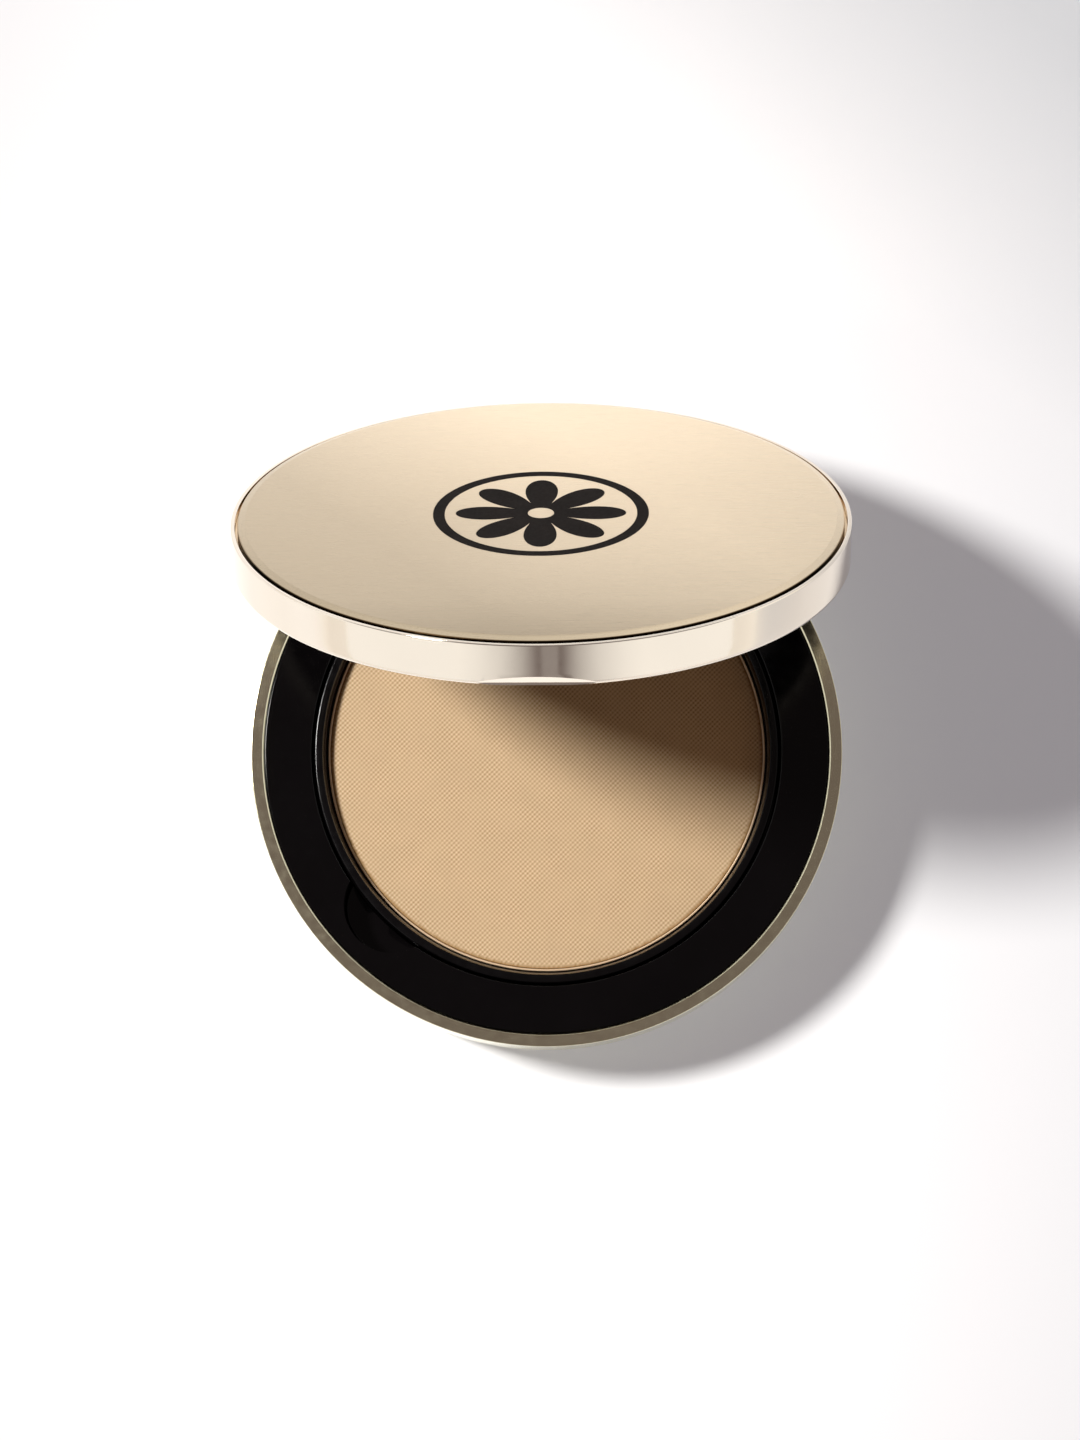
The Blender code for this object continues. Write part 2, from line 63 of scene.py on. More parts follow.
JOINTS = {joint["name"]: joint for joint in frame["joints"]}
HINGE = Vector(JOINTS["lid_hinge"]["pos_m"])
OPEN_ANGLE = math.radians(-JOINTS["lid_hinge"]["range_deg"][0])
OPEN_LID = (
    Matrix.Translation(HINGE) @ Matrix.Rotation(-OPEN_ANGLE, 4, "X") @ Matrix.Translation(-HINGE)
)


def shut_box(name):
    """A lid node's corners with the lid turned shut."""
    closing = OPEN_LID.inverted()
    points = np.array([closing @ v.co for v in frame["nodes"][name].data.vertices])
    return Vector(points.min(axis=0)), Vector(points.max(axis=0))


def widest(corners):
    """The radius of a turned node, from its box."""
    return corners[1].x


# ---------------------------------------------------------------- shared places

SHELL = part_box("base_shell")
CASE_R = widest(SHELL)
RIM_Z = SHELL[1].z
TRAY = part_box("base_tray")
TRAY_R = widest(TRAY)
DECK_Z = TRAY[1].z
LABEL_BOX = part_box("base_label")
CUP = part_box("refill_cup")
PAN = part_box("powder_pan")
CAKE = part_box("pressed_powder")
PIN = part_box("hinge_pin")
LID = shut_box("lid_shell")
PLATE = shut_box("lid_top_plate")
TRIM = shut_box("mirror_frame")
GLASS = shut_box("mirror")
RING = shut_box("emblem_ring")
ROSETTE = shut_box("emblem_rosette")

KNUCKLE_R = 2.1 * MM
KNUCKLE_HALF = 6.0 * MM  # half width of the lid's knuckle
SLOT_HALF = 6.2 * MM  # half width of the slot that it turns in
HINGE_HALF = 12.0 * MM  # half width over the base's knuckles
WELL_R = widest(CUP) + 0.35 * MM  # the tray's well for the refill
WELL_FLOOR = CUP[0].z - 0.1 * MM
SHELL_BORE = TRAY_R + 0.06 * MM  # inside both shells
SEAT_R = widest(PLATE) + 0.35 * MM  # the plate's seat in the lid shell; the groove is what it leaves open
SEAT_Z = PLATE[0].z - 0.2 * MM
ROLL_W = 1.0 * MM  # bevelled edge of the plate
ROLL_H = 0.36 * MM
CROWN = 0.05 * MM  # how far the plate's middle rises over its edge
RELIEF = 0.05 * MM  # half the depth of the weave pressed into the powder


# ---------------------------------------------------------------- mesh tools

ROUND = 288  # facets round a full turn
LID_ROUND = ROUND + 72  # facets round the lid, whose polish shows each one
FINE = 96  # facets round a small piece
BEND_STEP = math.radians(15)  # most turn between two points of a rounding
BEND_SHARE = 0.49  # most of a side that one rounding takes up
ON_AXIS = 1e-9  # a profile point nearer the axis than this is a pole


def fillet(corners, closed):
    """Rounds a profile. Each corner is (radius, height, rounding); a missing rounding leaves it sharp."""
    points = [Vector(corner[:2]) for corner in corners]
    bends = [corner[2] if len(corner) > 2 else 0.0 for corner in corners]
    count = len(points)
    result = []
    for i, (point, bend) in enumerate(zip(points, bends)):
        if bend <= 0.0 or (not closed and i in (0, count - 1)):
            result.append((point.x, point.y))
            continue
        before = points[i - 1] - point
        after = points[(i + 1) % count] - point
        half = before.angle(after) / 2
        reach = min(bend / math.tan(half), before.length * BEND_SHARE, after.length * BEND_SHARE)
        radius = reach * math.tan(half)
        bisector = (before.normalized() + after.normalized()).normalized()
        centre = point + bisector * (radius / math.sin(half))
        first = point + before.normalized() * reach - centre
        last = point + after.normalized() * reach - centre
        steps = max(2, int(math.ceil((math.pi - 2 * half) / BEND_STEP)))
        start = math.atan2(first.y, first.x)
        turn = math.atan2(last.y, last.x) - start
        turn = (turn + math.pi) % (2 * math.pi) - math.pi
        for step in range(steps + 1):
            angle = start + turn * step / steps
            result.append((centre.x + radius * math.cos(angle), centre.y + radius * math.sin(angle)))
    return result


def ellipse_bend(centre_r, centre_z, size_r, size_z, start, end, steps):
    """Profile points along part of an ellipse, from one angle in degrees to another."""
    points = []
    for i in range(steps + 1):
        angle = math.radians(start + (end - start) * i / steps)
        points.append((centre_r + size_r * math.cos(angle), centre_z + size_z * math.sin(angle)))
    return points


def object_from(name, verts, faces, smooth_angle=30.0):
    """A smooth-shaded object in the scene, sharp over smooth_angle, with its faces pointing out."""
    mesh = bpy.data.meshes.new(name)
    mesh.from_pydata(verts, [], faces)
    tidy = bmesh.new()
    tidy.from_mesh(mesh)
    bmesh.ops.recalc_face_normals(tidy, faces=tidy.faces)
    tidy.to_mesh(mesh)
    tidy.free()
    mesh.shade_smooth()
    mesh.set_sharp_from_angle(angle=math.radians(smooth_angle))
    obj = bpy.data.objects.new(name, mesh)
    bpy.context.scene.collection.objects.link(obj)
    return obj


def lathe(name, profile, steps=ROUND, centre=(0.0, 0.0)):
    """Turns a profile about an upright axis. Ends on the axis become poles; otherwise it is a loop."""
    verts = []
    rings = []
    for radius, height in profile:
        if radius <= ON_AXIS:
            rings.append([len(verts)])
            verts.append((centre[0], centre[1], height))
            continue
        rings.append(list(range(len(verts), len(verts) + steps)))
        for i in range(steps):
            angle = 2 * math.pi * i / steps
            x = centre[0] + radius * math.cos(angle)
            y = centre[1] + radius * math.sin(angle)
            verts.append((x, y, height))
    pairs = list(zip(rings, rings[1:]))
    if len(rings[0]) > 1:
        pairs.append((rings[-1], rings[0]))
    faces = []
    for low, high in pairs:
        for i in range(steps):
            j = (i + 1) % steps
            if len(low) == 1 and len(high) == 1:
                break
            if len(low) == 1:
                faces.append((low[0], high[j], high[i]))
            elif len(high) == 1:
                faces.append((low[i], low[j], high[0]))
            else:
                faces.append((low[i], low[j], high[j], high[i]))
    return object_from(name, verts, faces)


def prism(name, outline, low, high, hole=None, crown=0.0, axis="Z"):
    """Extrudes an outline between two heights. crown eases the top edges by that much.

    hole is an inner outline with as many points. axis X lays the prism along the hinge.
    """
    loops = [outline] + ([hole] if hole else [])
    layers = [(low, 0.0), (high - crown, 0.0)] + ([(high, crown)] if crown else [])
    verts = []
    rings = []
    for k, loop in enumerate(loops):
        flat = np.array(loop)
        ahead = np.roll(flat, -1, axis=0) - np.roll(flat, 1, axis=0)
        inward = np.stack([-ahead[:, 1], ahead[:, 0]], axis=1)
        inward /= np.linalg.norm(inward, axis=1)[:, None]
        sense = 1.0 if k == 0 else -1.0
        for height, shrink in layers:
            rings.append(list(range(len(verts), len(verts) + len(flat))))
            for u, v in flat + inward * shrink * sense:
                verts.append((height, u, v) if axis == "X" else (u, v, height))
    count = len(outline)
    tiers = len(layers)
    faces = []
    for k in range(len(loops)):
        for tier in range(tiers - 1):
            a, b = rings[k * tiers + tier], rings[k * tiers + tier + 1]
            faces += [(a[i], a[(i + 1) % count], b[(i + 1) % count], b[i]) for i in range(count)]
    if hole:
        for tier in (0, tiers - 1):
            a, b = rings[tier], rings[tiers + tier]
            faces += [(a[i], a[(i + 1) % count], b[(i + 1) % count], b[i]) for i in range(count)]
    else:
        faces += [tuple(rings[0]), tuple(rings[-1])]
    return object_from(name, verts, faces)


def circle(radius, count, centre=(0.0, 0.0)):
    """A round outline."""
    turns = [2 * math.pi * i / count for i in range(count)]
    return [(centre[0] + radius * math.cos(a), centre[1] + radius * math.sin(a)) for a in turns]


def box_tool(name, low, high):
    """A box between two corners."""
    outline = [(low[0], low[1]), (high[0], low[1]), (high[0], high[1]), (low[0], high[1])]
    return prism(name, outline, low[2], high[2])


def hinge_round(name, radius, low_x, high_x):
    """A cylinder along the hinge axis."""
    return prism(name, circle(radius, FINE, (HINGE.y, HINGE.z)), low_x, high_x, axis="X")


def shape_with(target, tool, operation):
    """Joins or cuts with a tool, applies it and removes the tool."""
    modifier = target.modifiers.new("shape", "BOOLEAN")
    modifier.operation = operation
    modifier.object = tool
    modifier.solver = "EXACT"
    apply_modifiers(target)
    bpy.data.objects.remove(tool)


def apply_modifiers(obj):
    """Replaces the mesh by what its modifiers make of it."""
    graph = bpy.context.evaluated_depsgraph_get()
    graph.update()
    mesh = bpy.data.meshes.new_from_object(obj.evaluated_get(graph))
    obj.modifiers.clear()
    old = obj.data
    obj.data = mesh
    bpy.data.meshes.remove(old)


def ease_edges(obj, width, segments=2, angle=32.0):
    """Rounds the sharp edges that Booleans leave, then shades the piece smooth."""
    bevel = obj.modifiers.new("ease", "BEVEL")
    bevel.width = width
    bevel.segments = segments
    bevel.limit_method = "ANGLE"
    bevel.angle_limit = math.radians(angle)
    bevel.use_clamp_overlap = True
    apply_modifiers(obj)
    obj.data.shade_smooth()
    obj.data.set_sharp_from_angle(angle=math.radians(40))
    weighted = obj.modifiers.new("weighted", "WEIGHTED_NORMAL")
    weighted.keep_sharp = True
    weighted.weight = 80
    apply_modifiers(obj)


def finish_piece(obj, body, material, slot, *nodes):
    """Gives a new piece its material and body, opens it if it is on the lid, and hides the CAD nodes it
    stands for; slot is not used.
    """
    obj.data.materials.clear()
    obj.data.materials.append(material)
    if body == "lid":
        obj.matrix_world = OPEN_LID
    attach(obj, body)
    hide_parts(*nodes)
    return obj


# ---------------------------------------------------------------- material tools

# Painted shade and reflection for the groove round the plate: tan at its sides and back, dark brown at its
# front.
PAINTED_GROOVE_SHADE_TAN = (0.80, 0.66, 0.48)
PAINTED_GROOVE_SHADE_BROWN = (0.05, 0.04, 0.03)


def colour_mix(tree, blend="MIX"):
    """A new colour mixing node: its factor, its two colours and its output."""
    node = tree.nodes.new("ShaderNodeMix")
    node.data_type = "RGBA"
    node.blend_type = blend
    first, second = [socket for socket in node.inputs if socket.type == "RGBA"]
    output = next(socket for socket in node.outputs if socket.type == "RGBA")
    return node.inputs["Factor"], first, second, output


class Recipe:
    """A Principled material with a few helpers for building its node graph."""

    def __init__(self, name, colour, roughness, metallic=0.0):
        self.material = bpy.data.materials.new(name)
        self.material.use_nodes = True
        self.tree = self.material.node_tree
        self.shader = self.tree.nodes["Principled BSDF"]
        self.coords = self.tree.nodes.new("ShaderNodeTexCoord").outputs["Object"]
        self.colour = colour
        self.set("Base Color", (*colour, 1.0))
        self.set("Roughness", roughness)
        self.set("Metallic", metallic)

    def set(self, socket, value):
        """Gives a shader input a plain value."""
        self.shader.inputs[socket].default_value = value

    def link(self, output, socket):
        """Feeds a shader input from another node."""
        self.tree.links.new(output, self.shader.inputs[socket])

    def node(self, kind, **values):
        """A new node with some of its settings changed."""
        made = self.tree.nodes.new(kind)
        for key, value in values.items():
            setattr(made, key, value)
        return made

    def stretch(self, scale):
        """Object coordinates, stretched so that a feature runs along the axis with the smaller number."""
        mapping = self.node("ShaderNodeMapping")
        mapping.inputs["Scale"].default_value = scale
        self.tree.links.new(self.coords, mapping.inputs["Vector"])
        return mapping.outputs["Vector"]

    def noise(self, scale, detail=3.0, vector=None):
        """Noise with about scale features to the metre, mostly between 0.3 and 0.7."""
        texture = self.node("ShaderNodeTexNoise")
        texture.inputs["Scale"].default_value = scale
        texture.inputs["Detail"].default_value = detail
        self.tree.links.new(vector or self.coords, texture.inputs["Vector"])
        return texture.outputs["Fac"]

    def remap(self, value, low, high, from_low=0.3, from_high=0.7):
        """Turns one range of numbers into another; the default suits noise."""
        ranger = self.node("ShaderNodeMapRange")
        ranger.inputs["From Min"].default_value = from_low
        ranger.inputs["From Max"].default_value = from_high
        ranger.inputs["To Min"].default_value = low
        ranger.inputs["To Max"].default_value = high
        self.tree.links.new(value, ranger.inputs["Value"])
        return ranger.outputs["Result"]

    def mix(self, factor, first, second):
        """Blends two colours, each given as numbers or as an output."""
        amount, *sockets, blended = colour_mix(self.tree)
        self.tree.links.new(factor, amount)
        for socket, value in zip(sockets, (first, second)):
            if isinstance(value, tuple):
                socket.default_value = (*value, 1.0)
            else:
                self.tree.links.new(value, socket)
        return blended

    def along(self, direction):
        """Distance along a direction, from the frame's origin."""
        dot = self.node("ShaderNodeVectorMath", operation="DOT_PRODUCT")
        dot.inputs[1].default_value = direction
        self.tree.links.new(self.coords, dot.inputs[0])
        return dot.outputs["Value"]

    def reach(self):
        """Distance from the compact's axis."""
        flat = self.node("ShaderNodeVectorMath", operation="MULTIPLY")
        flat.inputs[1].default_value = (1.0, 1.0, 0.0)
        self.tree.links.new(self.coords, flat.inputs[0])
        length = self.node("ShaderNodeVectorMath", operation="LENGTH")
        self.tree.links.new(flat.outputs["Vector"], length.inputs[0])
        return length.outputs["Value"]

    def times(self, first, second):
        """The product of two numbers."""
        product = self.node("ShaderNodeMath", operation="MULTIPLY")
        self.tree.links.new(first, product.inputs[0])
        self.tree.links.new(second, product.inputs[1])
        return product.outputs["Value"]

    def deepen(self, factor, colour):
        """Multiplies the base colour by another, as far as factor says."""
        base = self.shader.inputs["Base Color"]
        amount, first, second, product = colour_mix(self.tree, "MULTIPLY")
        self.tree.links.new(factor, amount)
        self.tree.links.new(base.links[0].from_socket, first)
        second.default_value = (*colour, 1.0)
        self.tree.links.new(product, base)

    def paint_groove_shade(self, factor):
        """Paints shade into the groove round the plate: a tan painted reflection at the sides and back,
        dark brown painted shade to the front.
        """
        self.deepen(factor, PAINTED_GROOVE_SHADE_TAN)
        front = self.remap(self.along(FRONT), 0.0, 1.0, 2 * MM, 16 * MM)
        self.deepen(self.times(factor, front), PAINTED_GROOVE_SHADE_BROWN)

    def tint(self, amount, scale):
        """Uneven colour: the base colour, a little darker and lighter by turns."""
        dark = tuple(c * (1.0 - amount) for c in self.colour)
        light = tuple(min(1.0, c * (1.0 + amount)) for c in self.colour)
        shade = self.mix(self.remap(self.noise(scale), 0.0, 1.0), dark, light)
        self.link(shade, "Base Color")
        return shade

    def roughen(self, low, high, scale):
        """Uneven roughness, between two values."""
        self.link(self.remap(self.noise(scale, 4.0), low, high), "Roughness")

    def bump(self, height, distance, strength=1.0):
        """Adds a bump on top of any bump already there."""
        bumper = self.node("ShaderNodeBump")
        bumper.inputs["Distance"].default_value = distance
        bumper.inputs["Strength"].default_value = strength
        self.tree.links.new(height, bumper.inputs["Height"])
        normal = self.shader.inputs["Normal"]
        if normal.is_linked:
            self.tree.links.new(normal.links[0].from_socket, bumper.inputs["Normal"])
        self.tree.links.new(bumper.outputs["Normal"], normal)


def polished_gold(name, colour, roughness):
    """Vacuum-metallised plastic: a mirror finish with a faint moulded waviness and fine handling marks."""
    recipe = Recipe(name, colour, roughness, 1.0)
    recipe.tint(0.02, 60.0)
    recipe.roughen(roughness * 0.8, roughness * 1.4, 900.0)
    recipe.bump(recipe.noise(120.0, 2.0), 0.00002)
    recipe.bump(recipe.noise(1.0, 3.0, recipe.stretch((900.0, 900.0, 6000.0))), 0.0000006)
    return recipe


def lid_gold():
    """The lid's bright gold, with painted shade in the groove round the plate."""
    recipe = polished_gold("lid_gold", (0.93, 0.85, 0.73), 0.07)
    # Painted shade: the groove below the plate's seat is darkened.
    inside = recipe.remap(recipe.reach(), 1.0, 0.0, SEAT_R + 0.01 * MM, SEAT_R + 0.03 * MM)
    above = recipe.remap(recipe.along(UP), 0.0, 1.0, SEAT_Z - 0.1 * MM, SEAT_Z - 0.05 * MM)
    recipe.paint_groove_shade(recipe.times(inside, above))
    return recipe.material


def satin_gold():
    """Anodised plate brushed from side to side, with painted shade that deepens it to the left and front
    and darkens its side in the groove.
    """
    recipe = Recipe("satin_gold", (0.80, 0.66, 0.46), 0.3, 1.0)
    brushed = recipe.noise(1.0, 4.0, recipe.stretch((250.0, 14000.0, 14000.0)))
    recipe.link(recipe.remap(brushed, 0.25, 0.35), "Roughness")
    recipe.bump(brushed, 0.0000016)
    tone = recipe.remap(brushed, 0.0, 1.0)
    recipe.link(recipe.mix(tone, (0.895, 0.748, 0.540), (0.955, 0.806, 0.586)), "Base Color")
    # Painted shade: darker to the left and front, and near the front edge of the flat top, as the plate's
    # reflections fall.
    painted_shade_left_front = recipe.remap(recipe.along((-0.85, -0.53, 0.0)), 0.0, 1.0, -16 * MM, 22 * MM)
    recipe.deepen(painted_shade_left_front, (0.665, 0.660, 0.645))
    painted_shade_front_edge = recipe.remap(recipe.along(FRONT), 0.0, 1.0, 27 * MM, 38 * MM)
    level = recipe.along(UP)
    flat_z = PLATE[1].z - CROWN
    flat = recipe.remap(level, 0.0, 1.0, flat_z - 0.12 * MM, flat_z)
    recipe.deepen(recipe.times(painted_shade_front_edge, flat), (0.86, 0.85, 0.84))
    # Painted shade in the groove, on the plate's side below its bevel.
    side_z = flat_z - ROLL_H + 0.03 * MM
    recipe.paint_groove_shade(recipe.remap(level, 1.0, 0.0, side_z - 0.03 * MM, side_z + 0.03 * MM))
    recipe.set("Anisotropic", 0.35)
    return recipe.material


def gloss_black(name, roughness):
    """Moulded gloss plastic with a hint of orange peel and hairline handling marks."""
    recipe = Recipe(name, (0.0016, 0.0013, 0.0015), roughness)
    recipe.tint(0.25, 90.0)
    recipe.roughen(roughness * 0.8, roughness * 1.5, 700.0)
    recipe.bump(recipe.noise(350.0, 2.0), 0.000003)
    recipe.set("Specular IOR Level", 0.2)
    return recipe.material


def black_enamel():
    """The matt black filling of the emblem."""
    recipe = Recipe("black_enamel", (0.009, 0.0068, 0.0058), 0.5)
    recipe.tint(0.2, 400.0)
    recipe.roughen(0.44, 0.56, 2500.0)
    recipe.bump(recipe.noise(3000.0), 0.000002)
    recipe.set("Specular IOR Level", 0.02)
    return recipe.material


def plain_metal(name, colour, roughness, grain):
    """Bare or plated metal with a fine directionless grain."""
    recipe = Recipe(name, colour, roughness, 1.0)
    recipe.tint(0.05, grain * 0.3)
    recipe.roughen(roughness * 0.75, roughness * 1.35, grain)
    recipe.bump(recipe.noise(grain), 0.000002)
    return recipe.material


def lacquered_tin():
    """The drawn pan: tin under a warm satin lacquer, so that it is only partly a mirror."""
    recipe = Recipe("lacquered_tin", (0.66, 0.48, 0.31), 0.4, 0.25)
    recipe.tint(0.04, 700.0)
    recipe.roughen(0.34, 0.46, 1500.0)
    recipe.bump(recipe.noise(1500.0), 0.000001)
    return recipe.material


def mirror_glass():
    """Silvered glass: almost perfectly sharp, with the slightest haze from handling."""
    recipe = Recipe("mirror_glass", (0.90, 0.92, 0.915), 0.01, 1.0)
    recipe.tint(0.01, 40.0)
    recipe.roughen(0.004, 0.022, 150.0)
    return recipe.material


def soft_film(name, colour, roughness):
    """Adhesive tape or label film with a fibrous unevenness."""
    recipe = Recipe(name, colour, roughness)
    recipe.tint(0.06, 700.0)
    recipe.roughen(roughness * 0.85, roughness * 1.1, 1800.0)
    recipe.bump(recipe.noise(2500.0), 0.000008)
    return recipe.material


def pressed_powder_material():
    """Matt cake with soft tone changes, painted shade in the weave's hollows, and lighter specks painted
    as the shimmer's glints.
    """
    recipe = Recipe("pressed_powder", (0.815, 0.640, 0.435), 0.92)
    # Painted light: a lighter tone for specks that stand for the shimmer's glints, and a darker one for
    # painted shade in the weave's hollows.
    painted_glint_tone, painted_hollow_shade = (0.85, 0.68, 0.47), (0.39, 0.28, 0.15)
    shade = recipe.tint(0.03, 260.0)
    grain = recipe.remap(recipe.noise(6000.0, 2.0), 0.0, 1.0)
    dark = tuple(c * 0.84 for c in recipe.colour)
    shade = recipe.mix(recipe.remap(grain, 0.0, 0.35, 0.0, 1.0), shade, dark)
    # Painted glints: a few of these cells take the lighter tone.
    cells = recipe.node("ShaderNodeTexVoronoi")
    cells.inputs["Scale"].default_value = 5200.0
    recipe.tree.links.new(recipe.coords, cells.inputs["Vector"])
    split = recipe.node("ShaderNodeSeparateColor")
    recipe.tree.links.new(cells.outputs["Color"], split.inputs["Color"])
    painted_glints = recipe.remap(split.outputs["Red"], 0.0, 0.35, 0.93, 1.0)
    shade = recipe.mix(painted_glints, shade, painted_glint_tone)
    recipe.link(shade, "Base Color")
    top = CAKE[1].z
    # Painted shade: the weave's low points are darkened.
    recipe.deepen(recipe.remap(recipe.along(UP), 1.0, 0.0, top - 2 * RELIEF, top), painted_hollow_shade)
    recipe.bump(recipe.noise(5200.0, 3.0), 0.000004)
    recipe.set("Specular IOR Level", 0.1)
    return recipe.material


LID_GOLD = lid_gold()
BASE_GOLD = polished_gold("base_gold", (0.80, 0.755, 0.54), 0.13).material
SATIN = satin_gold()
TRAY_BLACK = gloss_black("tray_black", 0.09)
CUP_BLACK = gloss_black("cup_black", 0.16)
FRAME_BLACK = gloss_black("frame_black", 0.11)
ENAMEL = black_enamel()
STEEL = plain_metal("bright_steel", (0.60, 0.60, 0.61), 0.22, 2500.0)
NICKEL = plain_metal("nickel_plate", (0.66, 0.64, 0.60), 0.2, 2000.0)
TINPLATE = lacquered_tin()
MIRROR = mirror_glass()
TAPE = soft_film("adhesive_tape", (0.80, 0.80, 0.76), 0.65)
FOAM = soft_film("black_foam_tape", (0.006, 0.006, 0.006), 0.9)
LABEL = soft_film("label_film", (0.52, 0.45, 0.35), 0.42)
POWDER = pressed_powder_material()


# ---------------------------------------------------------------- the base


def base_shell():
    """The gold case: a bowl with a flat foot, a level rim and the two outer knuckles."""
    foot_r = CASE_R - 5.5 * MM
    bowl_h = 7.5 * MM
    recess = LABEL_BOX[1].z + 0.08 * MM
    label_r = widest(LABEL_BOX) + 0.2 * MM
    floor_z = 1.2 * MM
    bend_w, bend_h = 3.8 * MM, 4.0 * MM
    corners = [(0.0, recess), (label_r, recess, 0.1 * MM), (label_r, 0.0, 0.12 * MM)]
    corners += ellipse_bend(foot_r, bowl_h, CASE_R - foot_r, bowl_h, -90.0, 0.0, 24)
    corners += [(CASE_R, RIM_Z, 0.12 * MM)]
    corners += [(SHELL_BORE + 0.26 * MM, RIM_Z - 0.02 * MM, 0.1 * MM)]
    corners += [(SHELL_BORE, RIM_Z - 0.3 * MM, 0.1 * MM)]
    corners += ellipse_bend(SHELL_BORE - bend_w, floor_z + bend_h, bend_w, bend_h, 0.0, -90.0, 8)
    corners += [(0.0, floor_z)]
    shell = lathe("base_shell_finish", fillet(corners, closed=False))
    shape_with(shell, hinge_round("barrel", KNUCKLE_R, -HINGE_HALF, HINGE_HALF), "UNION")
    slot_low = (-SLOT_HALF, HINGE.y - KNUCKLE_R - 0.2 * MM, HINGE.z - KNUCKLE_R - 0.3 * MM)
    slot_high = (SLOT_HALF, CASE_R + 6 * MM, RIM_Z + 4 * MM)
    shape_with(shell, box_tool("slot", slot_low, slot_high), "DIFFERENCE")
    hole = hinge_round("pin_hole", PIN[1].z - HINGE.z + 0.05 * MM, -HINGE_HALF - MM, HINGE_HALF + MM)
    shape_with(shell, hole, "DIFFERENCE")
    ease_edges(shell, 0.12 * MM)
    return finish_piece(shell, "base", BASE_GOLD, "gold_base", "base_shell")


def base_tray():
    """The gloss deck and well, with the thumb scoop sunk beside the refill."""
    wall = 1.3 * MM
    deck_low = DECK_Z - 1.4 * MM
    skirt_r = TRAY_R - 1.2 * MM
    skirt_low = 5.4 * MM
    underside = TRAY[0].z
    corners = [
        (0.0, underside),
        (WELL_R + wall, underside, 0.4 * MM),
        (WELL_R + wall, deck_low, 0.2 * MM),
        (skirt_r, deck_low, 0.2 * MM),
        (skirt_r, skirt_low, 0.1 * MM),
        (TRAY_R, skirt_low, 0.1 * MM),
        (TRAY_R, DECK_Z, 0.18 * MM),
        (WELL_R, DECK_Z, 0.16 * MM),
        (WELL_R, WELL_FLOOR, 0.2 * MM),
        (0.0, WELL_FLOOR),
    ]
    tray = lathe("base_tray_finish", fillet(corners, closed=False))
    angle = math.radians(225.0)
    scoop_r = 6.45 * MM
    centre_r = 29.3 * MM
    floor_z = RIM_Z - 5.4 * MM
    centre = (centre_r * math.cos(angle), centre_r * math.sin(angle))
    inner, outer = WELL_R + 0.6 * MM, TRAY_R - 0.6 * MM
    spread = math.radians(16.0)
    steps = 12
    turns = [angle + spread * (i / steps - 1) for i in range(2 * steps + 1)]
    surround = [(outer * math.cos(t), outer * math.sin(t)) for t in turns]
    surround += [(inner * math.cos(t), inner * math.sin(t)) for t in reversed(turns)]
    shape_with(tray, prism("surround", surround, floor_z - MM, DECK_Z - 0.8 * MM), "UNION")
    bowl = fillet(
        [(0.0, floor_z), (scoop_r, floor_z, 0.3 * MM), (scoop_r, DECK_Z + MM), (0.0, DECK_Z + MM)],
        closed=False,
    )
    shape_with(tray, lathe("scoop", bowl, FINE * 2, centre), "DIFFERENCE")
    flat_y = HINGE.y - KNUCKLE_R - 0.4 * MM
    room = CASE_R + MM
    shape_with(tray, box_tool("flat", (-room, flat_y, 0.0), (room, room, DECK_Z + MM)), "DIFFERENCE")
    ease_edges(tray, 0.16 * MM, 3)
    return finish_piece(tray, "base", TRAY_BLACK, "black_tray", "base_tray")


def base_label():
    """The blank film label in the foot's recess."""
    radius = widest(LABEL_BOX)
    corners = [
        (0.0, 0.0),
        (radius, 0.0, 0.06 * MM),
        (radius, LABEL_BOX[1].z, 0.04 * MM),
        (0.0, LABEL_BOX[1].z),
    ]
    label = lathe("base_label_finish", fillet(corners, closed=False))
    return finish_piece(label, "base", LABEL, "label", "base_label")


def hinge_pin():
    """The pin, with its ends chamfered."""
    radius = PIN[1].z - HINGE.z
    pin = hinge_round("hinge_pin_finish", radius, PIN[0].x, PIN[1].x)
    ease_edges(pin, 0.18 * MM, 2, 60.0)
    return finish_piece(pin, "base", STEEL, "steel", "hinge_pin")


# ---------------------------------------------------------------- the refill


def refill_cup():
    """The black cup: a ring round the powder pan, with a thin floor under it."""
    top = CUP[1].z
    low = CUP[0].z
    bore = widest(PAN) + 0.16 * MM
    floor_top = PAN[0].z - 0.2 * MM
    floor_low = floor_top - 0.6 * MM
    corners = [
        (0.0, floor_low),
        (bore, floor_low, 0.2 * MM),
        (bore, low, 0.2 * MM),
        (CUP[1].x, low, 0.4 * MM),
        (CUP[1].x, top, 0.32 * MM),
        (widest(PAN) + 0.62 * MM, top, 0.12 * MM),
        (bore, PAN[1].z + 0.12 * MM, 0.1 * MM),
        (bore, floor_top),
        (0.0, floor_top),
    ]
    cup = lathe("refill_cup_finish", fillet(corners, closed=False))
    return finish_piece(cup, "refill", CUP_BLACK, "black_cup", "refill_cup")


def powder_pan():
    """The drawn tin pan with its thin raised rim."""
    radius, top, low = widest(PAN), PAN[1].z, PAN[0].z
    wall = 0.3 * MM
    corners = [
        (0.0, low),
        (radius, low, 0.5 * MM),
        (radius, top, 0.12 * MM),
        (radius - wall, top, 0.12 * MM),
        (radius - wall, low + wall, 0.3 * MM),
        (0.0, low + wall),
    ]
    pan = lathe("powder_pan_finish", fillet(corners, closed=False))
    return finish_piece(pan, "refill", TINPLATE, "tinplate", "powder_pan")


